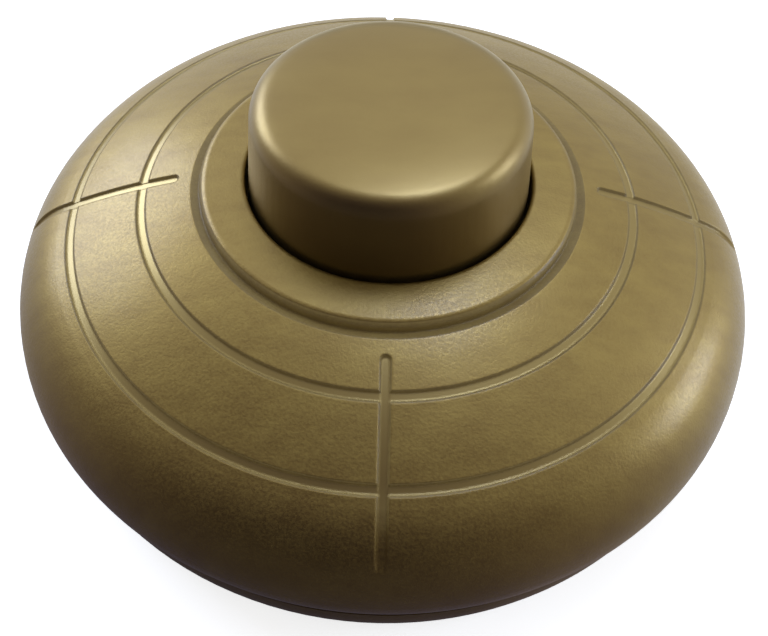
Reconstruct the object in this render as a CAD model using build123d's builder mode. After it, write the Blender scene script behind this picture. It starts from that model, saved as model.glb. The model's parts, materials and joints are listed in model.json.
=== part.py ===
"""Round foot switch for a lamp cord: a domed cover on a flat base, with a push-push ratchet inside."""

import math
import os

from build123d import *

os.makedirs("parts", exist_ok=True)

# All sizes are in millimetres and degrees. +Z is up, -Y is the front, and the
# origin is on the floor under the middle of the button.

# Outline of the cover
body_radius = 33.0
widest_height = 9.1
rim_radius = 8.2
rim_sweep = 62.7
under_radius = 4.5
dome_radius = 56.6
cover_wall = 2.0
side_wall = 3.7
parting_height = 6.0
core_margin = 1.0

# Collar round the button
collar_width = 3.85
collar_foot_width = 0.75
collar_foot_depth = 0.3
collar_step = 0.84
collar_rise = 0.4
collar_fillet = 0.6
hole_radius = 12.05
hole_depth = 3.2
hole_fillet = 0.3

# Grooves in the dome
groove_floor_width = 0.66
groove_wall_angle = 30.0
ring_groove_depth = 0.18
spoke_groove_depth = 0.22
groove_margin = 0.4
ring_inset = 5.7
ring_spacing = 6.35
spoke_inset = 1.6
spoke_fade_angle = 43.0
spoke_count = 4

# Guide sleeve and ribs under the dome
sleeve_clearance = 0.3
sleeve_wall = 1.6
key_width = 2.0
key_height = 1.2
key_clearance = 0.25
rib_thickness = 1.0
rib_height = 15.3
rib_angles = (22.5, 67.5, 112.5, 157.5, 202.5, 247.5, 292.5, 337.5)

# Base
foot_protrusion = 0.8
base_floor = 2.2
lip_inset = 1.0
base_tuck = 1.6
base_lip_edge = 0.3
shadow_gap = 0.5
seat_width = 1.3
spigot_clearance = 0.2
spigot_wall = 1.1
spigot_height = 1.6

# Rubber feet
foot_radius = 4.5
foot_thickness = 1.6
foot_margin = 0.8
foot_recess_clearance = 0.1
foot_fillet = 0.4
foot_angles = (30, 150, 270)

# Housing screws and the posts that they join
post_margin = 0.4
screw_angles = (90, 235, 305)
post_wall = 1.0
boss_radius = 3.5
post_height = 8.8
boss_gap = 0.2
screw_shank_radius = 1.45
screw_length = 11.0
screw_head_radius = 2.8
screw_head_height = 1.9
screw_seat = 4.4
screw_slot_length = 3.4
screw_clearance = 0.15
pilot_clearance = 0.05
pilot_spare = 0.4

# Cord inlets and clamps
inlet_radius = 3.25
inlet_height = 5.2
inlet_run_in = 2.0
clamp_margin = 0.45
clamp_span = 12.0
clamp_width = 4.4
clamp_overhang = 2.6
clamp_post_radius = 2.5
clamp_arch_radius = 3.6
clamp_arch_drop = 0.5
clamp_post_top = 7.0
clamp_thickness = 3.0
clamp_fillet = 0.5
clamp_screw_reach = 3.4
small_shank_radius = 1.25
small_head_radius = 2.3
small_head_height = 1.5
small_pilot_clearance = 0.05
small_head_fillet = 0.2
slot_width = 0.8
slot_depth = 0.7
slot_turn = 30.0

# Terminals and strips
terminal_gap = 0.8
terminal_y = 8.0
terminal_length = 7.0
terminal_width = 6.5
terminal_height = 5.0
terminal_fillet = 0.4
wire_hole_radius = 1.6
wire_hole_height = 2.6
terminal_screw_lift = 0.8
strip_width = 4.0
strip_thickness = 0.8
strip_fillet = 1.0
seat_height = 2.9
contact_circle = 9.5
contact_end_margin = 2.3
link_y = 14.0
peg_gap = 1.2
ledge_size = 4.6
peg_radius = 0.8
peg_height = 1.2
peg_clearance = 0.1

# Contacts
fixed_tip_radius = 1.7
fixed_tip_height = 0.65
moving_tip_radius = 1.5
moving_tip_height = 0.7
contact_gap = 0.05

# Ratchet
button_travel = 4.0
tooth_count = 8
tooth_height = 3.2
tooth_inner_radius = 6.1
tooth_outer_radius = 8.0
tooth_side_gap = 2.0
tooth_root = 0.4
mesh_clearance = 0.2
disc_margin = 1.0
disc_thickness = 2.0
bridge_margin = 0.3
bridge_arm_width = 4.0
bridge_thickness = 0.5
bridge_square = 5.6
bridge_clearance = 0.05
hub_radius = 2.5
hub_top_radius = 3.0
hub_top_height = 2.2
hub_gap = 0.2
ring_radius = 4.6
ring_thickness = 0.8
ring_clearance = 0.05

# Pivot and spring
pin_radius = 1.5
pin_clearance = 0.05
pin_press_clearance = 0.02
pin_bottom_margin = 0.8
pin_chamfer = 0.3
pin_above_hub = 0.3
pivot_boss_radius = 4.0
pivot_boss_height = 2.85
spring_mean_radius = 4.4
spring_wire = 0.9
washer_clearance = 0.2
washer_outer_radius = 5.2
washer_thickness = 0.4

# Button
button_gap = 0.3
button_draft = 0.55
button_height = 7.4
button_fillet = 1.3
button_dish = 0.4
button_wall = 2.15
button_top_thickness = 2.17
flange_thickness = 1.3
flange_clearance = 0.1
spigot_radius = 3.4
spigot_stop_gap = 0.1
plunger_flange_thickness = 1.7
plunger_flange_clearance = 0.1

# Radii and places worked out from the sizes above
button_radius = hole_radius - button_gap
button_top_radius = button_radius - button_draft
collar_radius = hole_radius + collar_width
collar_foot_radius = collar_radius + collar_foot_width
spoke_start_radius = collar_foot_radius + spoke_inset
outer_ring_radius = body_radius - ring_inset
inner_ring_radius = outer_ring_radius - ring_spacing
cover_side_radius = body_radius - side_wall
spigot_outer_radius = cover_side_radius - spigot_clearance
spigot_inner_radius = spigot_outer_radius - spigot_wall
seat_radius = cover_side_radius + seat_width
base_lip_radius = body_radius - lip_inset
base_bottom_radius = base_lip_radius - base_tuck
foot_circle = base_bottom_radius - foot_radius - foot_margin
screw_recess_radius = screw_head_radius + screw_clearance * 2
post_radius = screw_recess_radius + post_wall
screw_circle = spigot_inner_radius - post_radius - post_margin
inlet_inner_x = spigot_inner_radius - inlet_run_in
clamp_post_circle = spigot_inner_radius - clamp_post_radius - clamp_margin
clamp_x = math.sqrt(clamp_post_circle**2 - (clamp_span / 2) ** 2)
terminal_x = clamp_x - clamp_post_radius - terminal_gap - terminal_length / 2
ledge_x = contact_circle + fixed_tip_radius + peg_radius + peg_gap
bridge_radius = contact_circle + moving_tip_radius + bridge_margin
disc_radius = tooth_outer_radius + disc_margin
washer_inner_radius = hub_top_radius + washer_clearance

# Heights worked out from the sizes above
base_bottom = foot_protrusion
floor_top = base_bottom + base_floor
strip_bottom = floor_top + seat_height
strip_top = strip_bottom + strip_thickness
bridge_bottom = strip_top + fixed_tip_height + contact_gap + moving_tip_height
disc_bottom = bridge_bottom + bridge_thickness
disc_top = disc_bottom + disc_thickness
hub_bottom = floor_top + pivot_boss_height + hub_gap
hub_top = disc_top + hub_top_height
pin_top = hub_top + pin_above_hub

# Centres of the two arcs of the outline, in the plane of radius and height
rim_centre = Vector(body_radius - rim_radius, widest_height)
sweep_direction = Vector(math.cos(math.radians(rim_sweep)), math.sin(math.radians(rim_sweep)))
dome_centre = rim_centre - sweep_direction * (dome_radius - rim_radius)


def dome_point(radius, offset=0.0):
    """Point of the dome's arc at a radius, or of the same arc offset outwards."""
    arc = dome_radius + offset
    return Vector(radius, dome_centre.Y + math.sqrt(arc**2 - (radius - dome_centre.X) ** 2))


def rim_point(angle, offset=0.0):
    """Point of the rim's arc at an angle above the widest point."""
    arc = rim_radius + offset
    turn = math.radians(angle)
    return rim_centre + Vector(arc * math.cos(turn), arc * math.sin(turn))


def dome_angle(radius, offset=0.0):
    """Angle of a dome point above the horizontal, seen from the arc's centre."""
    return math.degrees(math.acos((radius - dome_centre.X) / (dome_radius + offset)))


parting_sweep = math.degrees(math.asin((widest_height - parting_height) / under_radius))
collar_foot = dome_point(collar_foot_radius)
collar_top = collar_foot.Y + collar_step
hole_top = collar_top + collar_rise
ceiling = hole_top - hole_depth
flange_radius = hole_radius + key_height
sleeve_radius = flange_radius + sleeve_clearance
sleeve_outer_radius = sleeve_radius + sleeve_wall
flange_top = ceiling - flange_clearance
flange_bottom = flange_top - flange_thickness
sleeve_bottom = flange_bottom - button_travel - flange_clearance
button_top = hole_top + button_height
button_ceiling = button_top - button_top_thickness

# Cover, first as the plain outer form
ring_groove_radii = (inner_ring_radius, outer_ring_radius)

with BuildPart() as cover_form:
    with BuildSketch(Plane.XZ):
        with BuildLine():
            lower_rim = JernArc((body_radius, widest_height), (0, -1), under_radius, -parting_sweep)
            Line(lower_rim @ 1, (0, parting_height))
            Line((0, parting_height), (0, hole_top))
            Polyline(
                (0, hole_top),
                (hole_radius, hole_top),
                (collar_radius, collar_top),
                (collar_radius, dome_point(collar_radius).Y - collar_foot_depth),
                (collar_foot_radius, collar_foot.Y),
            )
            upper_rim = JernArc((body_radius, widest_height), (0, 1), rim_radius, rim_sweep)
            JernArc(
                upper_rim @ 1,
                upper_rim % 1,
                dome_radius,
                dome_angle(collar_foot_radius) - rim_sweep,
            )
        make_face()
    revolve(axis=Axis.Z)

# Core of the cover: the hollow inside it, which leaves the sleeve, bosses, ribs and keys standing
boss_bottom = post_height + boss_gap
inner_dome_start = dome_point(sleeve_outer_radius, -cover_wall)
side_angle = math.degrees(math.acos((cover_side_radius - rim_centre.X) / (rim_radius - cover_wall)))

with BuildPart() as cover_core:
    with BuildSketch(Plane.XZ):
        with BuildLine():
            Polyline(
                (0, parting_height - core_margin),
                (cover_side_radius, parting_height - core_margin),
                tuple(rim_point(side_angle, -cover_wall))[:2],
            )
            inner_rim = JernArc(
                tuple(rim_point(side_angle, -cover_wall))[:2],
                (-math.sin(math.radians(side_angle)), math.cos(math.radians(side_angle))),
                rim_radius - cover_wall,
                rim_sweep - side_angle,
            )
            JernArc(
                inner_rim @ 1,
                inner_rim % 1,
                dome_radius - cover_wall,
                dome_angle(sleeve_outer_radius, -cover_wall) - rim_sweep,
            )
            Polyline(
                tuple(inner_dome_start)[:2],
                (sleeve_outer_radius, sleeve_bottom),
                (sleeve_radius, sleeve_bottom),
                (sleeve_radius, ceiling),
                (hole_radius, ceiling),
                (hole_radius, hole_top + core_margin),
                (0, hole_top + core_margin),
                (0, parting_height - core_margin),
            )
        make_face()
    revolve(axis=Axis.Z)
    with BuildSketch(Plane.XY.offset(boss_bottom)):
        for angle in screw_angles:
            with PolarLocations(screw_circle, 1, angle):
                Circle(boss_radius)
    extrude(amount=hole_top - boss_bottom, mode=Mode.SUBTRACT)
    with BuildSketch(Plane.XY.offset(rib_height)):
        rib_length = cover_side_radius - sleeve_outer_radius + sleeve_wall / 2
        for angle in rib_angles:
            with PolarLocations(cover_side_radius - rib_length / 2, 1, angle):
                Rectangle(rib_length, rib_thickness)
    extrude(amount=hole_top - rib_height, mode=Mode.SUBTRACT)
    with BuildSketch(Plane.XY.offset(sleeve_bottom)):
        key_length = key_height + sleeve_wall / 2
        with PolarLocations(sleeve_radius - key_height + key_length / 2, 2, 90):
            Rectangle(key_length, key_width)
    extrude(amount=ceiling - sleeve_bottom, mode=Mode.SUBTRACT)

pilot_top = screw_seat + screw_length + pilot_spare
spoke_path_start = dome_point(spoke_start_radius)
fade_run = rim_radius / 2

with BuildPart() as cover:
    add(cover_form.part)
    add(cover_core.part, mode=Mode.SUBTRACT)
    fillet(cover.edges().filter_by(GeomType.CIRCLE).group_by(Axis.Z)[-1], hole_fillet)
    circles = cover.edges().filter_by(GeomType.CIRCLE)
    fillet(circles.sort_by_distance((collar_radius, 0, collar_top))[0], collar_fillet)
    # Pilot holes for the housing screws
    for angle in screw_angles:
        with PolarLocations(screw_circle, 1, angle):
            with Locations((0, 0, boss_bottom)):
                Cylinder(
                    screw_shank_radius + pilot_clearance,
                    pilot_top - boss_bottom,
                    align=(Align.CENTER, Align.CENTER, Align.MIN),
                    mode=Mode.SUBTRACT,
                )
    # Cord inlets on both sides
    with BuildSketch(Plane.YZ):
        with Locations((0, inlet_height)):
            Circle(inlet_radius)
    extrude(amount=body_radius + core_margin, both=True, mode=Mode.SUBTRACT)

# Cutters of the grooves: flat floors with sloping walls. A radial one follows the dome and leaves
# it over the rim.
spoke_start_angle = math.radians(dome_angle(spoke_start_radius))


def groove_outline(depth):
    """Corners of a groove's section, across and outwards from the dome's surface."""
    spread = math.tan(math.radians(groove_wall_angle))
    floor_edge = groove_floor_width / 2
    top_edge = floor_edge + (depth + groove_margin) * spread
    return [(-floor_edge, -depth), (floor_edge, -depth), (top_edge, groove_margin), (-top_edge, groove_margin)]


with BuildPart() as spoke_cutter:
    with BuildLine(Plane.XZ) as spoke_path:
        over_dome = JernArc(
            tuple(spoke_path_start)[:2],
            (math.sin(spoke_start_angle), -math.cos(spoke_start_angle)),
            dome_radius,
            rim_sweep - math.degrees(spoke_start_angle),
        )
        over_rim = JernArc(over_dome @ 1, over_dome % 1, rim_radius, spoke_fade_angle - rim_sweep)
        Line(over_rim @ 1, (over_rim @ 1) + (over_rim % 1) * fade_run)
    spoke_plane = Plane(origin=over_dome @ 0, x_dir=(0, 1, 0), z_dir=over_dome % 0)
    with BuildSketch(spoke_plane):
        Polygon(*groove_outline(spoke_groove_depth), align=None)
    sweep(path=spoke_path.line)
    with BuildSketch(spoke_plane):
        Polygon(*groove_outline(spoke_groove_depth), align=None)
        Rectangle(
            body_radius,
            body_radius,
            align=(Align.MIN, Align.CENTER),
            mode=Mode.SUBTRACT,
        )
    revolve(axis=Axis(over_dome @ 0, spoke_plane.y_dir))

with BuildPart() as grooved_cover:
    add(cover.part)
    for radius in ring_groove_radii:
        surface = dome_point(radius)
        outwards = (surface - dome_centre).normalized()
        with BuildSketch(Plane.XZ):
            Polygon(
                *[
                    (
                        surface.X + across * outwards.Y + out * outwards.X,
                        surface.Y - across * outwards.X + out * outwards.Y,
                    )
                    for across, out in groove_outline(ring_groove_depth)
                ],
                align=None,
            )
        revolve(axis=Axis.Z, mode=Mode.SUBTRACT)
    with PolarLocations(0, spoke_count):
        add(spoke_cutter.part, mode=Mode.SUBTRACT)

grooved_cover.part.label = "cover"
export_step(grooved_cover.part, "parts/cover.step")

# Base
spigot_top = parting_height + spigot_height
lip_top = parting_height - shadow_gap
strip_seats = [(side * terminal_x, way * terminal_y) for side in (-1, 1) for way in (-1, 1)]
strip_ledges = [(-ledge_x, 0), (ledge_x, 0), (0, link_y)]
clamp_screws_at = [
    (side * clamp_x, way * clamp_span / 2) for side in (-1, 1) for way in (-1, 1)
]

with BuildPart() as base:
    with BuildSketch(Plane.XZ):
        with BuildLine():
            Polyline(
                (base_bottom_radius, base_bottom),
                (0, base_bottom),
                (0, floor_top),
                (spigot_inner_radius, floor_top),
                (spigot_inner_radius, spigot_top),
                (spigot_outer_radius, spigot_top),
                (spigot_outer_radius, parting_height),
                (seat_radius, parting_height),
                (seat_radius, lip_top),
                (base_lip_radius, lip_top),
                (base_lip_radius, lip_top - base_lip_edge),
            )
            TangentArc(
                (base_lip_radius, lip_top - base_lip_edge),
                (base_bottom_radius, base_bottom),
                tangent=(0, -1),
            )
        make_face()
    revolve(axis=Axis.Z)
    # Posts for the housing screws
    with BuildSketch(Plane.XY.offset(floor_top)):
        for angle in screw_angles:
            with PolarLocations(screw_circle, 1, angle):
                Circle(post_radius)
    extrude(amount=post_height - floor_top)
    # Seats of the terminals and ledges under the strips
    with BuildSketch(Plane.XY.offset(floor_top)):
        with Locations(*strip_seats):
            Rectangle(terminal_length, terminal_width)
        with Locations(*strip_ledges):
            Rectangle(ledge_size, ledge_size)
    extrude(amount=seat_height)
    with BuildSketch(Plane.XY.offset(strip_bottom)):
        with Locations(*strip_ledges):
            Circle(peg_radius)
    extrude(amount=peg_height)
    # Posts of the cord clamps
    with BuildSketch(Plane.XY.offset(floor_top)):
        with Locations(*clamp_screws_at):
            Circle(clamp_post_radius)
    extrude(amount=clamp_post_top - floor_top)
    with BuildSketch(Plane.XY.offset(floor_top)):
        with Locations(*clamp_screws_at):
            Circle(small_shank_radius + small_pilot_clearance)
    extrude(amount=clamp_post_top - floor_top, mode=Mode.SUBTRACT)
    # Boss and blind hole of the pivot pin
    with BuildSketch(Plane.XY.offset(floor_top)):
        Circle(pivot_boss_radius)
    extrude(amount=pivot_boss_height)
    with BuildSketch(Plane.XY.offset(base_bottom + pin_bottom_margin)):
        Circle(pin_radius + pin_press_clearance)
    extrude(amount=floor_top + pivot_boss_height, mode=Mode.SUBTRACT)
    # Screw holes with deep recesses from below
    for angle in screw_angles:
        with PolarLocations(screw_circle, 1, angle):
            with Locations((0, 0, base_bottom)):
                Cylinder(
                    screw_recess_radius,
                    screw_seat - base_bottom,
                    align=(Align.CENTER, Align.CENTER, Align.MIN),
                    mode=Mode.SUBTRACT,
                )
                Cylinder(
                    screw_shank_radius + screw_clearance,
                    post_height - base_bottom,
                    align=(Align.CENTER, Align.CENTER, Align.MIN),
                    mode=Mode.SUBTRACT,
                )
    # Recesses of the rubber feet
    with BuildSketch(Plane.XY.offset(base_bottom)):
        for angle in foot_angles:
            with PolarLocations(foot_circle, 1, angle):
                Circle(foot_radius + foot_recess_clearance)
    extrude(amount=foot_thickness - foot_protrusion, mode=Mode.SUBTRACT)
    # Cradles of the cord inlets
    for side in (-1, 1):
        with BuildSketch(Plane.YZ.offset(side * inlet_inner_x)):
            with Locations((0, inlet_height)):
                Circle(inlet_radius)
        extrude(amount=side * (body_radius - inlet_inner_x), mode=Mode.SUBTRACT)

base.part.label = "base"
export_step(base.part, "parts/base.step")

# Rubber feet
with BuildPart() as rubber_feet:
    with BuildSketch():
        for angle in foot_angles:
            with PolarLocations(foot_circle, 1, angle):
                Circle(foot_radius)
    extrude(amount=foot_thickness)
    fillet(rubber_feet.edges().group_by(Axis.Z)[0], foot_fillet)

rubber_feet.part.label = "rubber_feet"
export_step(rubber_feet.part, "parts/rubber_feet.step")

# Housing screws, heads down in the base's recesses
with BuildPart() as housing_screws:
    for angle in screw_angles:
        with PolarLocations(screw_circle, 1, angle):
            with Locations((0, 0, screw_seat)):
                Cylinder(
                    screw_head_radius,
                    screw_head_height,
                    align=(Align.CENTER, Align.CENTER, Align.MAX),
                )
                Cylinder(
                    screw_shank_radius,
                    screw_length,
                    align=(Align.CENTER, Align.CENTER, Align.MIN),
                )
            with Locations((0, 0, screw_seat - screw_head_height)):
                for turn in (0, 90):
                    Box(
                        screw_slot_length,
                        slot_width,
                        slot_depth * 2,
                        rotation=(0, 0, turn),
                        mode=Mode.SUBTRACT,
                    )

housing_screws.part.label = "housing_screws"
export_step(housing_screws.part, "parts/housing_screws.step")

# Cord clamps, each a bar with an arch over the cord's path
clamp_length = clamp_span + clamp_overhang * 2


def make_clamp(side):
    """Clamp bar on one side: -1 for the left, 1 for the right."""
    with BuildPart() as clamp:
        with BuildSketch(Plane.XY.offset(clamp_post_top)):
            with Locations((side * clamp_x, 0)):
                SlotOverall(clamp_length, clamp_width, rotation=90)
        extrude(amount=clamp_thickness)
        fillet(clamp.edges().group_by(Axis.Z)[-1], clamp_fillet)
        with BuildSketch(Plane.XY.offset(clamp_post_top)):
            with Locations((side * clamp_x, 0)):
                with GridLocations(0, clamp_span, 1, 2):
                    Circle(small_shank_radius + small_pilot_clearance)
        extrude(amount=clamp_thickness, mode=Mode.SUBTRACT)
        with BuildSketch(Plane.YZ.offset(side * clamp_x)):
            with Locations((0, inlet_height - clamp_arch_drop)):
                Circle(clamp_arch_radius)
        extrude(amount=clamp_width, both=True, mode=Mode.SUBTRACT)
    return clamp.part


for side, name in ((-1, "left"), (1, "right")):
    clamp_bar = make_clamp(side)
    clamp_bar.label = "cord_clamp_" + name
    export_step(clamp_bar, "parts/cord_clamp_" + name + ".step")


def slotted_screws(places, head_bottom, shank_length):
    """Cheese-head screws standing at the given places, with their heads up."""
    with BuildPart() as screws:
        with BuildSketch(Plane.XY.offset(head_bottom)):
            with Locations(*places):
                Circle(small_head_radius)
        extrude(amount=small_head_height)
        fillet(screws.edges().group_by(Axis.Z)[-1], small_head_fillet)
        with BuildSketch(Plane.XY.offset(head_bottom)):
            with Locations(*places):
                Circle(small_shank_radius)
        extrude(amount=-shank_length)
        with BuildSketch(Plane.XY.offset(head_bottom + small_head_height - slot_depth)):
            with Locations(*places):
                Rectangle(small_head_radius * 2 + slot_width, slot_width, rotation=slot_turn)
        extrude(amount=slot_depth, mode=Mode.SUBTRACT)
    return screws.part


clamp_screw_part = slotted_screws(
    clamp_screws_at, clamp_post_top + clamp_thickness, clamp_thickness + clamp_screw_reach
)
clamp_screw_part.label = "clamp_screws"
export_step(clamp_screw_part, "parts/clamp_screws.step")

terminal_top = strip_top + terminal_height
terminal_screw_part = slotted_screws(
    strip_seats, terminal_top, terminal_height - wire_hole_height - terminal_screw_lift
)
terminal_screw_part.label = "terminal_screws"
export_step(terminal_screw_part, "parts/terminal_screws.step")


def make_terminal(x, y):
    """Brass terminal block with a wire hole along X and a screw hole from above."""
    with BuildPart() as terminal:
        with BuildSketch(Plane.XY.offset(strip_top)):
            with Locations((x, y)):
                RectangleRounded(terminal_length, terminal_width, terminal_fillet)
        extrude(amount=terminal_height)
        chamfer(terminal.edges().group_by(Axis.Z)[-1], terminal_fillet / 2)
        with BuildSketch(Plane.YZ.offset(x)):
            with Locations((y, strip_top + wire_hole_height)):
                Circle(wire_hole_radius)
        extrude(amount=terminal_length, both=True, mode=Mode.SUBTRACT)
        with BuildSketch(Plane.XY.offset(terminal_top)):
            with Locations((x, y)):
                Circle(small_shank_radius + small_pilot_clearance)
        extrude(amount=wire_hole_height - terminal_height, mode=Mode.SUBTRACT)
    return terminal.part


terminals = {
    "live_in_terminal": (-terminal_x, -terminal_y),
    "live_out_terminal": (terminal_x, -terminal_y),
    "neutral_in_terminal": (-terminal_x, terminal_y),
    "neutral_out_terminal": (terminal_x, terminal_y),
}
for name, (x, y) in terminals.items():
    block = make_terminal(x, y)
    block.label = name
    export_step(block, "parts/" + name + ".step")


def make_contact(side):
    """Live strip from a terminal to the fixed contact beside the ratchet."""
    inner_x = contact_circle - contact_end_margin
    outer_x = terminal_x + strip_width / 2
    with BuildPart() as contact:
        with BuildSketch(Plane.XY.offset(strip_bottom)) as outline:
            with Locations((side * terminal_x, -terminal_y / 2)):
                Rectangle(strip_width, terminal_y + strip_width)
            with Locations((side * (inner_x + outer_x) / 2, 0)):
                Rectangle(outer_x - inner_x, strip_width)
            fillet(outline.vertices().sort_by_distance((0, 0))[:2], strip_fillet)
            with Locations((side * ledge_x, 0)):
                Circle(peg_radius + peg_clearance, mode=Mode.SUBTRACT)
        extrude(amount=strip_thickness)
    return contact.part


for side, name in ((-1, "live_in_contact"), (1, "live_out_contact")):
    strip = make_contact(side)
    strip.label = name
    export_step(strip, "parts/" + name + ".step")

# Neutral link, a U-shaped strip behind the ratchet
with BuildPart() as neutral_link:
    with BuildSketch(Plane.XY.offset(strip_bottom)) as link_outline:
        with Locations((0, link_y)):
            Rectangle(terminal_x * 2 + strip_width, strip_width)
        with Locations((-terminal_x, (terminal_y + link_y) / 2), (terminal_x, (terminal_y + link_y) / 2)):
            Rectangle(strip_width, link_y - terminal_y + strip_width)
        fillet(link_outline.vertices().group_by(Axis.Y)[-1], strip_fillet)
        with Locations((0, link_y)):
            Circle(peg_radius + peg_clearance, mode=Mode.SUBTRACT)
    extrude(amount=strip_thickness)

neutral_link.part.label = "neutral_link"
export_step(neutral_link.part, "parts/neutral_link.step")

# Fixed contact tips on the two live strips
with BuildPart() as fixed_contact_tips:
    with BuildSketch(Plane.XY.offset(strip_top)):
        with Locations((-contact_circle, 0), (contact_circle, 0)):
            Circle(fixed_tip_radius)
    extrude(amount=fixed_tip_height)

fixed_contact_tips.part.label = "fixed_contact_tips"
export_step(fixed_contact_tips.part, "parts/fixed_contact_tips.step")

# Pivot pin, pressed into the base
with BuildPart() as pivot_pin:
    with BuildSketch(Plane.XY.offset(base_bottom + pin_bottom_margin)):
        Circle(pin_radius)
    extrude(amount=pin_top - base_bottom - pin_bottom_margin)
    chamfer(pivot_pin.edges().group_by(Axis.Z)[-1], pin_chamfer)

pivot_pin.part.label = "pivot_pin"
export_step(pivot_pin.part, "parts/pivot_pin.step")

# Ratchet wheel: a hub and a disc with a ring of sawteeth on top
half_tooth = (360 / tooth_count - tooth_side_gap) / 2
tooth_reach = math.tan(math.radians(half_tooth))


def tooth_outline(radius, profile):
    """Tooth profile on the plane that faces outwards at a radius, as wide as its angle gives there."""
    with BuildSketch(Plane(origin=(radius, 0, 0), x_dir=(0, 1, 0), z_dir=(1, 0, 0))) as outline:
        with BuildLine():
            Polyline(*[(way * radius * tooth_reach, height) for way, height in profile], close=True)
        make_face()
    return outline.sketch


def sawtooth(profile):
    """One tooth between the inner and the outer radius of the ring."""
    with BuildPart() as tooth:
        add(tooth_outline(tooth_inner_radius, profile))
        add(tooth_outline(tooth_outer_radius, profile))
        loft(ruled=True)
    return tooth.part


wheel_tooth = sawtooth(
    [
        (-1, disc_top - tooth_root),
        (1, disc_top - tooth_root),
        (1, disc_top + tooth_height),
        (-1, disc_top),
    ]
)

with BuildPart() as ratchet_wheel:
    with BuildSketch(Plane.XY.offset(disc_bottom)):
        Circle(disc_radius)
    extrude(amount=disc_thickness)
    with BuildSketch(Plane.XY.offset(hub_bottom)):
        Circle(hub_radius)
    extrude(amount=disc_bottom - hub_bottom)
    with BuildSketch(Plane.XY.offset(bridge_bottom)):
        Rectangle(bridge_square, bridge_square, rotation=45)
    extrude(amount=bridge_thickness)
    with BuildSketch(Plane.XY.offset(disc_top)):
        Circle(hub_top_radius)
    extrude(amount=hub_top_height)
    with PolarLocations(0, tooth_count):
        add(wheel_tooth)
    with BuildSketch(Plane.XY.offset(hub_bottom)):
        Circle(pin_radius + pin_clearance)
    extrude(amount=hub_top - hub_bottom, mode=Mode.SUBTRACT)

ratchet_wheel.part.label = "ratchet_wheel"
export_step(ratchet_wheel.part, "parts/ratchet_wheel.step")

# Bridge contact: a cross that joins the two fixed contacts at every second step
with BuildPart() as bridge_contact:
    with BuildSketch(Plane.XY.offset(bridge_bottom)):
        for turn in (45, 135):
            Rectangle(bridge_radius * 2, bridge_arm_width, rotation=turn)
        Circle(ring_radius + strip_fillet)
        Rectangle(
            bridge_square + bridge_clearance * 2,
            bridge_square + bridge_clearance * 2,
            rotation=45,
            mode=Mode.SUBTRACT,
        )
    extrude(amount=bridge_thickness)
    arm_corners = bridge_contact.edges().filter_by(Axis.Z).sort_by_distance((0, 0, bridge_bottom))
    fillet(arm_corners[-8:], strip_fillet)

bridge_contact.part.label = "bridge_contact"
export_step(bridge_contact.part, "parts/bridge_contact.step")

# Contact tips under the four arms
with BuildPart() as moving_contact_tips:
    with BuildSketch(Plane.XY.offset(bridge_bottom)):
        with PolarLocations(contact_circle, 4, 45):
            Circle(moving_tip_radius)
    extrude(amount=-moving_tip_height)

moving_contact_tips.part.label = "moving_contact_tips"
export_step(moving_contact_tips.part, "parts/moving_contact_tips.step")

# Retaining ring that holds the bridge on the hub
with BuildPart() as retaining_ring:
    with BuildSketch(Plane.XY.offset(bridge_bottom)):
        Circle(ring_radius)
        Circle(hub_radius + ring_clearance, mode=Mode.SUBTRACT)
    extrude(amount=-ring_thickness)

retaining_ring.part.label = "retaining_ring"
export_step(retaining_ring.part, "parts/retaining_ring.step")

# Thrust washer between the wheel and the spring
with BuildPart() as thrust_washer:
    with BuildSketch(Plane.XY.offset(disc_top)):
        Circle(washer_outer_radius)
        Circle(washer_inner_radius, mode=Mode.SUBTRACT)
    extrude(amount=washer_thickness)

thrust_washer.part.label = "thrust_washer"
export_step(thrust_washer.part, "parts/thrust_washer.step")

# Return spring, as the closed sleeve that its coils fill
with BuildPart() as return_spring:
    with BuildSketch(Plane.XY.offset(disc_top + washer_thickness)):
        Circle(spring_mean_radius + spring_wire / 2)
        Circle(spring_mean_radius - spring_wire / 2, mode=Mode.SUBTRACT)
    extrude(amount=button_ceiling - disc_top - washer_thickness)

return_spring.part.label = "return_spring"
export_step(return_spring.part, "parts/return_spring.step")

# Button cap with its flange, spigot and key notches
spigot_bottom = pin_top + button_travel + spigot_stop_gap
inner_button_radius = button_radius - button_wall
dish_arc = (button_top_radius**2 + button_dish**2) / (2 * button_dish)

with BuildPart() as button_cap:
    with BuildSketch(Plane.XZ):
        with BuildLine():
            Polyline(
                (0, button_ceiling),
                (inner_button_radius, button_ceiling),
                (inner_button_radius, flange_bottom),
                (flange_radius, flange_bottom),
                (flange_radius, flange_top),
                (button_radius, flange_top),
                (button_radius, hole_top),
                (button_top_radius, button_top),
                (0, button_top),
                close=True,
            )
        make_face()
    revolve(axis=Axis.Z)
    with Locations((0, 0, button_top - button_dish + dish_arc)):
        Sphere(dish_arc, mode=Mode.SUBTRACT)
    fillet(button_cap.edges().group_by(Axis.Z)[-1], button_fillet)
    with BuildSketch(Plane.XY.offset(spigot_bottom)):
        Circle(spigot_radius)
    extrude(amount=button_ceiling - spigot_bottom)
    with BuildSketch(Plane.XY.offset(flange_bottom)):
        notch_length = key_height + key_clearance
        with PolarLocations(flange_radius, 2, 90):
            Rectangle(notch_length * 2, key_width + key_clearance * 2)
    extrude(amount=flange_thickness, mode=Mode.SUBTRACT)

button_cap.part.label = "button_cap"
export_step(button_cap.part, "parts/button_cap.step")

# Plunger: the sawtoothed tube that drives the wheel
plunger_tip = disc_top + mesh_clearance + button_travel
plunger_root = plunger_tip + tooth_height
plunger_tooth = sawtooth(
    [
        (-1, plunger_tip),
        (1, plunger_root),
        (1, plunger_root + tooth_root),
        (-1, plunger_root + tooth_root),
    ]
)

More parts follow.
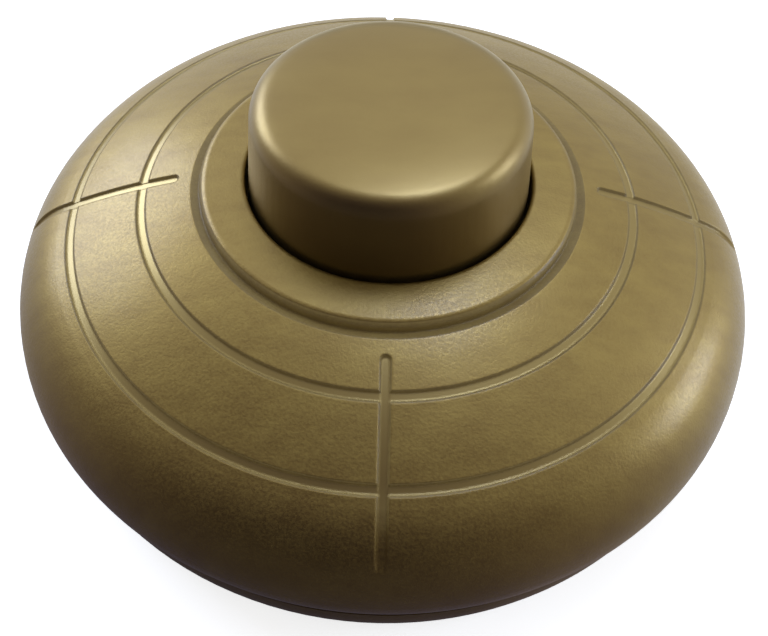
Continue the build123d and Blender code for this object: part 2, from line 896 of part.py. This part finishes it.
with BuildPart() as plunger:
    with BuildSketch(Plane.XY.offset(plunger_root)):
        Circle(tooth_outer_radius)
        Circle(tooth_inner_radius, mode=Mode.SUBTRACT)
    extrude(amount=button_ceiling - plunger_root)
    with BuildSketch(Plane.XY.offset(button_ceiling)):
        Circle(inner_button_radius - plunger_flange_clearance)
        Circle(tooth_inner_radius, mode=Mode.SUBTRACT)
    extrude(amount=-plunger_flange_thickness)
    with PolarLocations(0, tooth_count):
        add(plunger_tooth)

plunger.part.label = "plunger"
export_step(plunger.part, "parts/plunger.step")
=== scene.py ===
import json
import math

import bpy
from mathutils import Matrix, Vector


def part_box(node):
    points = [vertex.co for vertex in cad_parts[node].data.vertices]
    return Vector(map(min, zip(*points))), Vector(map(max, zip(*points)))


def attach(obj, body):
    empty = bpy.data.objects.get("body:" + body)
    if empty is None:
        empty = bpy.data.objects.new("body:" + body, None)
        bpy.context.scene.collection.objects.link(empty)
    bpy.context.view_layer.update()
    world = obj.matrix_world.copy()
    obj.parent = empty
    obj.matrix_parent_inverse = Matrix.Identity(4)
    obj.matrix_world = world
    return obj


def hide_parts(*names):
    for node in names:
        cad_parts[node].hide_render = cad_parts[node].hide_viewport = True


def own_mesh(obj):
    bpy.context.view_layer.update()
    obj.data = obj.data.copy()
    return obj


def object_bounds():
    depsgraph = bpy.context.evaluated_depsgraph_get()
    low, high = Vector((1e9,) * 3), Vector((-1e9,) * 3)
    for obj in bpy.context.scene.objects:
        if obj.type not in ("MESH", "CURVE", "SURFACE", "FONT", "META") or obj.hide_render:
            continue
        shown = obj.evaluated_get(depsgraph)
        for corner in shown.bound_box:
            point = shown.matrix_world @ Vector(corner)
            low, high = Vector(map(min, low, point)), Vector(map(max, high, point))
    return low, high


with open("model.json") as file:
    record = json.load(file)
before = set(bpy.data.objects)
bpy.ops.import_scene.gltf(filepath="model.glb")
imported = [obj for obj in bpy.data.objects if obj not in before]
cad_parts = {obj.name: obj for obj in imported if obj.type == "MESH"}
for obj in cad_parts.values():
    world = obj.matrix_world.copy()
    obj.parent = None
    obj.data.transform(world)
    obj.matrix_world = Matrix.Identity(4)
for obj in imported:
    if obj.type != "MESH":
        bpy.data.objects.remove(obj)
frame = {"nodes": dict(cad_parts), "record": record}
cad_low, cad_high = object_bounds()
bpy.ops.object.select_all(action="DESELECT")

mm = 0.001

# Camera, at the place and tilt that the outline of the cover and the button in the photograph give
camera_place = Vector((-1.29, -63.06, 83.83)) * mm
camera_elevation = 52.41
camera_azimuth = -1.3
camera_roll = 2.61
camera_lens = 48.81
camera_sensor = 36.0
camera_nearest = 5 * mm
camera_farthest = 10.0


def aim_camera():
    """Makes the scene's camera from its place, its two viewing angles and its roll."""
    azimuth, elevation, roll = (
        math.radians(angle) for angle in (camera_azimuth, camera_elevation, camera_roll)
    )
    back = Vector((
        math.sin(azimuth) * math.cos(elevation),
        -math.cos(azimuth) * math.cos(elevation),
        math.sin(elevation),
    ))
    right = Vector((math.cos(azimuth), math.sin(azimuth), 0))
    up = back.cross(right)
    right, up = (
        right * math.cos(roll) + up * math.sin(roll),
        up * math.cos(roll) - right * math.sin(roll),
    )
    camera = bpy.data.objects.new("camera", bpy.data.cameras.new("camera"))
    bpy.context.scene.collection.objects.link(camera)
    camera.data.lens = camera_lens
    camera.data.sensor_width = camera_sensor
    camera.data.clip_start = camera_nearest
    camera.data.clip_end = camera_farthest
    turn = Matrix((right, up, back)).transposed().to_4x4()
    camera.matrix_world = Matrix.Translation(camera_place) @ turn
    bpy.context.scene.camera = camera


aim_camera()


# Small helpers for shader nodes
def new_group(name, inputs, outputs):
    """Empty shader node group with named inputs and outputs, and its two end nodes."""
    group = bpy.data.node_groups.new(name, "ShaderNodeTree")
    for in_out, sockets in (("INPUT", inputs), ("OUTPUT", outputs)):
        for label, kind in sockets:
            group.interface.new_socket(label, in_out=in_out, socket_type=kind)
    return group, group.nodes.new("NodeGroupInput"), group.nodes.new("NodeGroupOutput")


def place_group(tree, group, place, values):
    """Node of a group in a material, over a place vector and with its own values."""
    node = tree.nodes.new("ShaderNodeGroup")
    node.node_tree = group
    tree.links.new(place, node.inputs["Place"])
    for label, value in values.items():
        node.inputs[label].default_value = value
    return node.outputs


def math_node(tree, operation, first, second=0.0, clamp=False):
    """Math node with each input linked to a socket or set to a number."""
    node = tree.nodes.new("ShaderNodeMath")
    node.operation = operation
    node.use_clamp = clamp
    for socket, value in zip(node.inputs, (first, second)):
        if isinstance(value, (int, float)):
            socket.default_value = value
        else:
            tree.links.new(value, socket)
    return node.outputs[0]


def blend(tree, factor, first, second):
    """Value that is the first one where the factor is 0 and the second one where it is 1."""
    if isinstance(first, float) and isinstance(second, float):
        step = second - first
    else:
        step = math_node(tree, "SUBTRACT", second, first)
    return math_node(tree, "ADD", math_node(tree, "MULTIPLY", factor, step), first)


def blend_colours(tree, factor, first, second):
    """Colour mix as blend does it, of colours that are tuples or sockets."""
    mix = tree.nodes.new("ShaderNodeMix")
    mix.data_type = "RGBA"
    tree.links.new(factor, mix.inputs["Factor"])
    for label, colour in (("A", first), ("B", second)):
        if isinstance(colour, tuple):
            mix.inputs[label].default_value = (*colour, 1.0)
        else:
            tree.links.new(colour, mix.inputs[label])
    return mix.outputs["Result"]


def noise_node(tree, place, scale, detail, roughness):
    """Noise texture over a place vector, with its scale from a socket."""
    node = tree.nodes.new("ShaderNodeTexNoise")
    tree.links.new(place, node.inputs["Vector"])
    tree.links.new(scale, node.inputs["Scale"])
    node.inputs["Detail"].default_value = detail
    node.inputs["Roughness"].default_value = roughness
    return node.outputs["Fac"]


def split_node(tree, place):
    """The three coordinates of a place vector."""
    node = tree.nodes.new("ShaderNodeSeparateXYZ")
    tree.links.new(place, node.inputs["Vector"])
    return node.outputs


def length_of(tree, first, second):
    """Length of a vector with two parts at a right angle."""
    squares = [math_node(tree, "POWER", part, 2.0) for part in (first, second)]
    return math_node(tree, "SQRT", math_node(tree, "ADD", *squares))


def smooth_edge(tree, value, start, end):
    """Smooth step of a value: 0 on the side of the start and 1 on the side of the end."""
    edge = tree.nodes.new("ShaderNodeMapRange")
    edge.interpolation_type = "SMOOTHSTEP"
    edge.inputs["From Min"].default_value = start
    edge.inputs["From Max"].default_value = end
    tree.links.new(value, edge.inputs["Value"])
    return edge.outputs["Result"]


# Grain: fine noise with some noise of coarser size under it, and its peaks as a speckle
coarse_scale_share = 0.37
coarse_height_share = 0.5
speckle_level = 0.35
speckle_contrast = 3.2

# Mottle: clouds drawn out along the flow of the moulding
flow_stretch = 2.2
flow_turn = -28
mottle_contrast = 1.5


def make_grain_group():
    """Grain of a moulded or machined surface: a height for bumps, and its fine peaks as a mask."""
    group, start, end = new_group(
        "surface_grain",
        [("Place", "NodeSocketVector"), ("Grain Size", "NodeSocketFloat")],
        [("Height", "NodeSocketFloat"), ("Speckle", "NodeSocketFloat")],
    )
    scale = math_node(group, "DIVIDE", 1.0, start.outputs["Grain Size"])
    fine = noise_node(group, start.outputs["Place"], scale, detail=2.0, roughness=0.6)
    coarse_scale = math_node(group, "MULTIPLY", scale, coarse_scale_share)
    coarse = noise_node(group, start.outputs["Place"], coarse_scale, detail=1.0, roughness=0.5)
    under = math_node(group, "MULTIPLY", coarse, coarse_height_share)
    group.links.new(math_node(group, "ADD", fine, under), end.inputs["Height"])
    peaks = math_node(group, "SUBTRACT", fine, speckle_level)
    speckle = math_node(group, "MULTIPLY", peaks, speckle_contrast, clamp=True)
    group.links.new(speckle, end.inputs["Speckle"])
    return group


def make_mottle_group():
    """Slow cloudy change of tone over a moulded piece, longer along one direction than across it."""
    group, start, end = new_group(
        "flow_mottle",
        [("Place", "NodeSocketVector"), ("Patch Size", "NodeSocketFloat")],
        [("Tone", "NodeSocketFloat")],
    )
    stretch = group.nodes.new("ShaderNodeMapping")
    stretch.inputs["Scale"].default_value = (1.0, flow_stretch, 1.0)
    stretch.inputs["Rotation"].default_value = (0.0, 0.0, math.radians(flow_turn))
    group.links.new(start.outputs["Place"], stretch.inputs["Vector"])
    scale = math_node(group, "DIVIDE", 1.0, start.outputs["Patch Size"])
    cloud = noise_node(group, stretch.outputs["Vector"], scale, detail=3.0, roughness=0.55)
    centred = math_node(group, "SUBTRACT", cloud, 0.5)
    spread = math_node(group, "MULTIPLY", centred, mottle_contrast)
    tone = math_node(group, "ADD", spread, 0.5, clamp=True)
    group.links.new(tone, end.inputs["Tone"])
    return group


# Grooves of the cover: two rings, placed from the widest edge, and four spokes that fade on the rim
ring_radii = tuple(cad_high.x - inset for inset in (12.05 * mm, 5.7 * mm))
spoke_start = 18.25 * mm
spoke_fade_top = 17.2 * mm
spoke_fade_bottom = 14.6 * mm
groove_half_width = 0.42 * mm
floor_half_width = 0.27 * mm
groove_blend = 0.08 * mm

# Wall of the cover's collar, which has the finish of the grooves' walls
collar_wall_radius = 16.15 * mm
collar_wall_half = 0.45 * mm

# Finish inside the grooves
groove_floor_colour = (0.252, 0.184, 0.055)
groove_floor_roughness = 0.30
groove_wall_roughness = 0.8
groove_wall_metallic = 0.40


def make_groove_group():
    """Masks of the cover's grooves: Dome is 1 outside them, and Wall is 1 away from their floors.
    Both rise to 1 where the spokes fade on the rim."""
    group, start, end = new_group(
        "groove_floors",
        [("Place", "NodeSocketVector")],
        [("Dome", "NodeSocketFloat"), ("Wall", "NodeSocketFloat")],
    )
    split = split_node(group, start.outputs["Place"])
    across = [math_node(group, "ABSOLUTE", split[axis]) for axis in ("X", "Y")]
    radius = length_of(group, *across)
    # Distance from the nearest spoke, whose inner end is round, or ring
    short_of_start = math_node(group, "MAXIMUM", math_node(group, "SUBTRACT", spoke_start, radius))
    nearest = length_of(group, short_of_start, math_node(group, "MINIMUM", *across))
    for ring in ring_radii:
        off_ring = math_node(group, "ABSOLUTE", math_node(group, "SUBTRACT", radius, ring))
        nearest = math_node(group, "MINIMUM", nearest, off_ring)
    # The collar's wall counts as a groove that is all wall, without a floor
    from_wall = math_node(group, "SUBTRACT", radius, collar_wall_radius)
    off_wall = math_node(group, "ABSOLUTE", from_wall)
    off_wall = math_node(group, "ADD", off_wall, groove_half_width - collar_wall_half)
    off_wall = math_node(group, "MAXIMUM", off_wall, floor_half_width + groove_blend)
    nearest = math_node(group, "MINIMUM", nearest, off_wall)
    faded = smooth_edge(group, split["Z"], spoke_fade_top, spoke_fade_bottom)
    for mask, half_width in (("Dome", groove_half_width), ("Wall", floor_half_width)):
        outside = smooth_edge(group, nearest, half_width, half_width + groove_blend)
        group.links.new(math_node(group, "MAXIMUM", outside, faded), end.inputs[mask])
    return group


grain_group = make_grain_group()
mottle_group = make_mottle_group()
groove_group = make_groove_group()


def groove_finish(tree, place, colour, roughness, metallic, height):
    """Finish with the cover's grooves in it: ungrained, with smooth pale floors and dull walls."""
    masks = place_group(tree, groove_group, place, {})
    dome, wall = masks["Dome"], masks["Wall"]
    height = math_node(tree, "MULTIPLY", height, dome)
    in_groove = blend(tree, wall, groove_floor_roughness, groove_wall_roughness)
    roughness = blend(tree, dome, in_groove, roughness)
    on_wall = math_node(tree, "MULTIPLY", wall, math_node(tree, "SUBTRACT", 1.0, dome))
    metallic = blend(tree, on_wall, metallic, groove_wall_metallic)
    off_floor = math_node(tree, "MAXIMUM", dome, wall)
    colour = blend_colours(tree, off_floor, groove_floor_colour, colour)
    return colour, roughness, metallic, height


# Crown of the button's top, inside its rounded edge
crown_radius = 9.9 * mm
crown_power = 3.0


def crown_normal(tree, place, normal, crown):
    """Normal tilted outwards as on a slightly crowned top, whose edge lies lower by the crown."""
    split = split_node(tree, place)
    share = math_node(tree, "DIVIDE", length_of(tree, split["X"], split["Y"]), crown_radius)
    fall = math_node(tree, "MULTIPLY", math_node(tree, "POWER", share, crown_power), -crown)
    tilt = tree.nodes.new("ShaderNodeBump")
    tilt.inputs["Strength"].default_value = 1.0
    tilt.inputs["Distance"].default_value = 1.0
    tree.links.new(fall, tilt.inputs["Height"])
    tree.links.new(normal, tilt.inputs["Normal"])
    return tilt.outputs["Normal"]


bevel_samples = 6
grain_depth_share = 0.25


def make_finish(
    name, colour, deep_colour, metallic, roughness, rough_spread,
    grain_size, grain_bump, patch_size, speckle=0.15, coat=0.0, coat_roughness=0.3,
    soft_edge=0.0, grooved=False, crown=0.0,
):
    """Material of one finish: two tones mixed by mottle and speckle, with grain in bump and roughness.
    A grooved one has the cover's grooves in it, and soft_edge rounds sharp edges."""
    material = bpy.data.materials.new(name)
    material.use_nodes = True
    tree = material.node_tree
    shader = tree.nodes["Principled BSDF"]
    shader.inputs["Metallic"].default_value = metallic
    shader.inputs["Coat Weight"].default_value = coat
    shader.inputs["Coat Roughness"].default_value = coat_roughness
    place = tree.nodes.new("ShaderNodeTexCoord").outputs["Object"]

    grain = place_group(tree, grain_group, place, {"Grain Size": grain_size})
    mottle = place_group(tree, mottle_group, place, {"Patch Size": patch_size})
    tone = math_node(
        tree, "ADD",
        math_node(tree, "MULTIPLY", mottle["Tone"], 1.0 - speckle),
        math_node(tree, "MULTIPLY", grain["Speckle"], speckle),
    )
    base_colour = blend_colours(tree, tone, deep_colour, colour)
    uneven = math_node(tree, "SUBTRACT", grain["Speckle"], 0.5)
    rough = math_node(tree, "ADD", math_node(tree, "MULTIPLY", uneven, rough_spread), roughness)
    height = grain["Height"]
    if grooved:
        base_colour, rough, metal, height = groove_finish(
            tree, place, base_colour, rough, metallic, height
        )
        tree.links.new(metal, shader.inputs["Metallic"])
    tree.links.new(base_colour, shader.inputs["Base Color"])
    tree.links.new(rough, shader.inputs["Roughness"])

    bump = tree.nodes.new("ShaderNodeBump")
    bump.inputs["Strength"].default_value = grain_bump
    bump.inputs["Distance"].default_value = grain_size * grain_depth_share
    tree.links.new(height, bump.inputs["Height"])
    if soft_edge:
        rounded = tree.nodes.new("ShaderNodeBevel")
        rounded.samples = bevel_samples
        rounded.inputs["Radius"].default_value = soft_edge
        normal = rounded.outputs["Normal"]
        if crown:
            normal = crown_normal(tree, place, normal, crown)
        tree.links.new(normal, bump.inputs["Normal"])
        tree.links.new(normal, shader.inputs["Coat Normal"])
    tree.links.new(bump.outputs["Normal"], shader.inputs["Normal"])
    return material


finishes = {
    "cover": make_finish(
        "bronze_satin", colour=(0.276, 0.196, 0.046), deep_colour=(0.178, 0.113, 0.024),
        metallic=0.92, roughness=0.46, rough_spread=0.16,
        grain_size=0.22 * mm, grain_bump=0.34, patch_size=4 * mm, speckle=0.28,
        coat=0.50, coat_roughness=0.27, soft_edge=0.30 * mm, grooved=True,
    ),
    "button": make_finish(
        "bronze_smooth", colour=(0.240, 0.168, 0.040), deep_colour=(0.205, 0.136, 0.030),
        metallic=0.95, roughness=0.38, rough_spread=0.05,
        grain_size=0.25 * mm, grain_bump=0.10, patch_size=6 * mm,
        coat=0.65, coat_roughness=0.34, soft_edge=1.0 * mm, crown=0.7 * mm,
    ),
    "base": make_finish(
        "bronze_base", colour=(0.200, 0.138, 0.034), deep_colour=(0.160, 0.106, 0.024),
        metallic=0.90, roughness=0.48, rough_spread=0.08,
        grain_size=0.30 * mm, grain_bump=0.25, patch_size=10 * mm, coat=0.2,
    ),
    "feet": make_finish(
        "black_rubber", colour=(0.030, 0.029, 0.027), deep_colour=(0.018, 0.018, 0.017),
        metallic=0.0, roughness=0.75, rough_spread=0.15,
        grain_size=0.25 * mm, grain_bump=0.5, patch_size=5 * mm,
    ),
    "screws": make_finish(
        "zinc_steel", colour=(0.62, 0.63, 0.64), deep_colour=(0.48, 0.48, 0.47),
        metallic=1.0, roughness=0.32, rough_spread=0.15,
        grain_size=0.15 * mm, grain_bump=0.15, patch_size=2.5 * mm,
    ),
    "clamps": make_finish(
        "natural_nylon", colour=(0.62, 0.60, 0.53), deep_colour=(0.55, 0.52, 0.44),
        metallic=0.0, roughness=0.50, rough_spread=0.10,
        grain_size=0.30 * mm, grain_bump=0.20, patch_size=6 * mm,
    ),
    "terminals": make_finish(
        "turned_brass", colour=(0.66, 0.47, 0.18), deep_colour=(0.52, 0.35, 0.12),
        metallic=1.0, roughness=0.28, rough_spread=0.12,
        grain_size=0.12 * mm, grain_bump=0.12, patch_size=3 * mm,
    ),
    "strips": make_finish(
        "stamped_brass", colour=(0.70, 0.51, 0.21), deep_colour=(0.55, 0.38, 0.14),
        metallic=1.0, roughness=0.33, rough_spread=0.12,
        grain_size=0.18 * mm, grain_bump=0.12, patch_size=5 * mm,
    ),
    "tips": make_finish(
        "silver_rivet", colour=(0.82, 0.81, 0.78), deep_colour=(0.66, 0.64, 0.60),
        metallic=1.0, roughness=0.25, rough_spread=0.12,
        grain_size=0.12 * mm, grain_bump=0.10, patch_size=2 * mm,
    ),
    "spring": make_finish(
        "spring_wire", colour=(0.55, 0.55, 0.56), deep_colour=(0.40, 0.40, 0.41),
        metallic=1.0, roughness=0.30, rough_spread=0.10,
        grain_size=0.10 * mm, grain_bump=0.12, patch_size=3 * mm,
    ),
    "mechanism": make_finish(
        "natural_acetal", colour=(0.74, 0.71, 0.62), deep_colour=(0.67, 0.63, 0.53),
        metallic=0.0, roughness=0.42, rough_spread=0.08,
        grain_size=0.30 * mm, grain_bump=0.12, patch_size=7 * mm, coat=0.1,
    ),
}

slot_of_node = {part["node"]: part["material_slot"] for part in frame["record"]["subparts"]}
for node_name, node in frame["nodes"].items():
    node.data.materials.clear()
    node.data.materials.append(finishes[slot_of_node[node_name]])

# Return spring, wound from wire in the place of the closed sleeve
wire_radius = 0.44 * mm
wire_sides = 14
wire_clearance = 0.01 * mm
wire_smooth_angle = 40
coil_turns = 7
coil_steps = 56


def wind_spring():
    """Coil of round wire between the two ends of the spring's sleeve."""
    low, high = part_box("return_spring")
    mean_radius = (high.x - low.x) / 2 - wire_radius - wire_clearance
    full_height = high.z - low.z
    wound_height = full_height - 2 * wire_radius
    bpy.ops.mesh.primitive_circle_add(
        vertices=wire_sides, radius=wire_radius,
        location=(mean_radius, 0, low.z + wire_radius), rotation=(math.pi / 2, 0, 0),
    )
    coil = bpy.context.object
    coil.name = "return_spring_coil"
    bpy.ops.object.transform_apply(location=True, rotation=True, scale=True)
    screw = coil.modifiers.new("wind", "SCREW")
    screw.axis = "Z"
    screw.screw_offset = wound_height / coil_turns
    screw.iterations = coil_turns
    screw.steps = screw.render_steps = coil_steps
    bpy.ops.object.modifier_apply(modifier=screw.name)
    bpy.ops.object.mode_set(mode="EDIT")
    bpy.ops.mesh.select_all(action="DESELECT")
    bpy.ops.mesh.select_mode(type="EDGE")
    bpy.ops.mesh.select_non_manifold()
    bpy.ops.mesh.fill_holes(sides=0)
    bpy.ops.mesh.select_all(action="SELECT")
    bpy.ops.mesh.normals_make_consistent(inside=False)
    bpy.ops.object.mode_set(mode="OBJECT")
    bpy.ops.object.shade_smooth_by_angle(angle=math.radians(wire_smooth_angle))
    coil.data.materials.append(finishes["spring"])
    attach(coil, "housing")
    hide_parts("return_spring")
    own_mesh(coil)
    coil.select_set(False)


wind_spring()

# Floor and surroundings
floor_size = 3.0
floor_tone = 0.82
floor_roughness = 0.9
floor_glow = 0.68
ambient_light = 0.50


def is_seen(tree):
    """Mask of camera, glossy and transmission rays."""
    path = tree.nodes.new("ShaderNodeLightPath")
    seen = math_node(tree, "MAXIMUM", path.outputs["Is Camera Ray"], path.outputs["Is Glossy Ray"])
    return math_node(tree, "MAXIMUM", seen, path.outputs["Is Transmission Ray"])


def make_floor():
    """Pale floor that shows white where nothing shades it."""
    bpy.ops.mesh.primitive_plane_add(size=floor_size, location=(0, 0, 0))
    floor = bpy.context.object
    floor.name = "floor"
    material = bpy.data.materials.new("pale_floor")
    material.use_nodes = True
    tree = material.node_tree
    shader = tree.nodes["Principled BSDF"]
    shader.inputs["Base Color"].default_value = (floor_tone, floor_tone, floor_tone, 1.0)
    shader.inputs["Roughness"].default_value = floor_roughness
    shader.inputs["Specular IOR Level"].default_value = 0.0
    shader.inputs["Emission Color"].default_value = (1.0, 1.0, 1.0, 1.0)
    glow = math_node(tree, "MULTIPLY", is_seen(tree), floor_glow)
    tree.links.new(glow, shader.inputs["Emission Strength"])
    floor.data.materials.append(material)
    floor.select_set(False)


def make_world():
    """White surroundings for what is seen or mirrored, and a softer level for the light they give."""
    world = bpy.data.worlds.new("studio")
    bpy.context.scene.world = world
    world.use_nodes = True
    tree = world.node_tree
    background = tree.nodes["Background"]
    background.inputs["Color"].default_value = (1.0, 1.0, 1.0, 1.0)
    level = blend(tree, is_seen(tree), ambient_light, 1.0)
    tree.links.new(level, background.inputs["Strength"])


# Painted shade in reflections: glowing screens stand for the shade of a room in front, mirrored in the
# front of the rim and the button.
# Each level is a colour with its angle from the middle of the shade, in degrees.
shade_azimuth = -107.0
shade_elevation = 8.0
shade_height = 10 * mm
shade_levels = (
    (0, (0.025, 0.018, 0.045)), (26, (0.044, 0.031, 0.070)), (40, (0.09, 0.068, 0.11)),
    (55, (0.23, 0.19, 0.22)), (70, (0.41, 0.37, 0.36)), (81, (0.57, 0.54, 0.55)),
    (95, (0.85, 0.85, 0.88)), (120, (1.0, 1.0, 1.0)), (155, (1.0, 0.98, 0.86)),
)
screen_radius = 1.0
sheet_inner_radius = 27 * mm
sheet_height = 0.3 * mm
sheet_lift = 0.05


def direction(azimuth, elevation):
    """Unit vector at an azimuth from +X towards +Y and an elevation, in degrees."""
    turn, rise = math.radians(azimuth), math.radians(elevation)
    return Vector((
        math.cos(turn) * math.cos(rise), math.sin(turn) * math.cos(rise), math.sin(rise)
    ))


def vector_node(tree, operation, first, second=None):
    """Vector math node of a linked first vector and a fixed second one."""
    node = tree.nodes.new("ShaderNodeVectorMath")
    node.operation = operation
    tree.links.new(first, node.inputs[0])
    if second is not None:
        node.inputs[1].default_value = second
    return node.outputs


def make_shade(name, lift):
    """Glowing finish of a screen, painted shade for reflections: darkest where the shade is, lighter
    with the angle away from it, and all of it nearer to white by the lift."""
    material = bpy.data.materials.new(name)
    material.use_nodes = True
    tree = material.node_tree
    tree.nodes.remove(tree.nodes["Principled BSDF"])
    glow = tree.nodes.new("ShaderNodeEmission")
    tree.links.new(glow.outputs["Emission"], tree.nodes["Material Output"].inputs["Surface"])
    place = tree.nodes.new("ShaderNodeTexCoord").outputs["Object"]
    from_middle = vector_node(tree, "SUBTRACT", place, (0.0, 0.0, shade_height))["Vector"]
    unit = vector_node(tree, "NORMALIZE", from_middle)["Vector"]
    towards = direction(shade_azimuth, shade_elevation)
    facing = vector_node(tree, "DOT_PRODUCT", unit, towards)["Value"]
    share = math_node(tree, "DIVIDE", math_node(tree, "ARCCOSINE", facing), math.pi)
    ramp = tree.nodes.new("ShaderNodeValToRGB")
    # A new ramp has its first two elements already
    elements = ramp.color_ramp.elements
    for index, (degrees, level) in enumerate(shade_levels):
        element = elements[index] if index < 2 else elements.new(degrees / 180)
        element.position = degrees / 180
        element.color = (*(part + lift * (1.0 - part) for part in level), 1.0)
    tree.links.new(share, ramp.inputs["Fac"])
    tree.links.new(ramp.outputs["Color"], glow.inputs["Color"])
    return material


def make_screens():
    """Wide dome over the studio and a sheet on its floor, which only mirror rays meet: glowing screens
    that paint shade in front, and white elsewhere, into reflections.
    """
    bpy.ops.mesh.primitive_uv_sphere_add(segments=48, ring_count=24, radius=screen_radius)
    dome = bpy.context.object
    dome.name = "painted_reflection_dome"
    bpy.ops.mesh.primitive_circle_add(vertices=72, radius=sheet_inner_radius)
    sheet = bpy.context.object
    sheet.name = "floor_sheet"
    bpy.ops.object.mode_set(mode="EDIT")
    bpy.ops.mesh.extrude_region_move()
    bpy.ops.transform.resize(value=(screen_radius / sheet_inner_radius,) * 3)
    bpy.ops.mesh.select_all(action="SELECT")
    bpy.ops.transform.translate(value=(0, 0, sheet_height))
    bpy.ops.object.mode_set(mode="OBJECT")
    # Painted shade and white in reflections: each screen glows for mirror rays only
    for screen, lift in ((dome, 0.0), (sheet, sheet_lift)):
        screen.data.materials.append(make_shade(screen.name + "_shade", lift))
        screen.visible_camera = False
        screen.visible_diffuse = False
        screen.visible_shadow = False
        screen.visible_transmission = False
        screen.select_set(False)


# Lamps, in the tones of daylight
daylight = (0.82, 0.96, 1.32)
skylight = (0.78, 0.95, 1.45)
lamp_target = Vector((0, 0, 12 * mm))


def add_lamp(name, azimuth, elevation, distance, size, power, colour):
    """Area lamp aimed at the middle of the switch, at an azimuth, an elevation and a distance."""
    lamp = bpy.data.objects.new(name, bpy.data.lights.new(name, "AREA"))
    bpy.context.scene.collection.objects.link(lamp)
    lamp.data.shape = "RECTANGLE"
    lamp.data.size, lamp.data.size_y = size
    lamp.data.energy = power
    lamp.data.color = colour
    away = direction(azimuth, elevation) * distance
    lamp.location = away + lamp_target
    lamp.rotation_euler = (-away).to_track_quat("-Z", "Y").to_euler()


make_floor()
make_world()
make_screens()
add_lamp(
    "window_left", azimuth=140, elevation=26, distance=0.80,
    size=(0.44, 0.38), power=2.9, colour=daylight,
)
add_lamp(
    "overhead", azimuth=60, elevation=70, distance=0.60,
    size=(0.18, 0.18), power=0.95, colour=skylight,
)
add_lamp(
    "window_right", azimuth=4, elevation=18, distance=0.70,
    size=(0.26, 0.22), power=1.2, colour=daylight,
)

bpy.context.scene.view_settings.view_transform = "Standard"
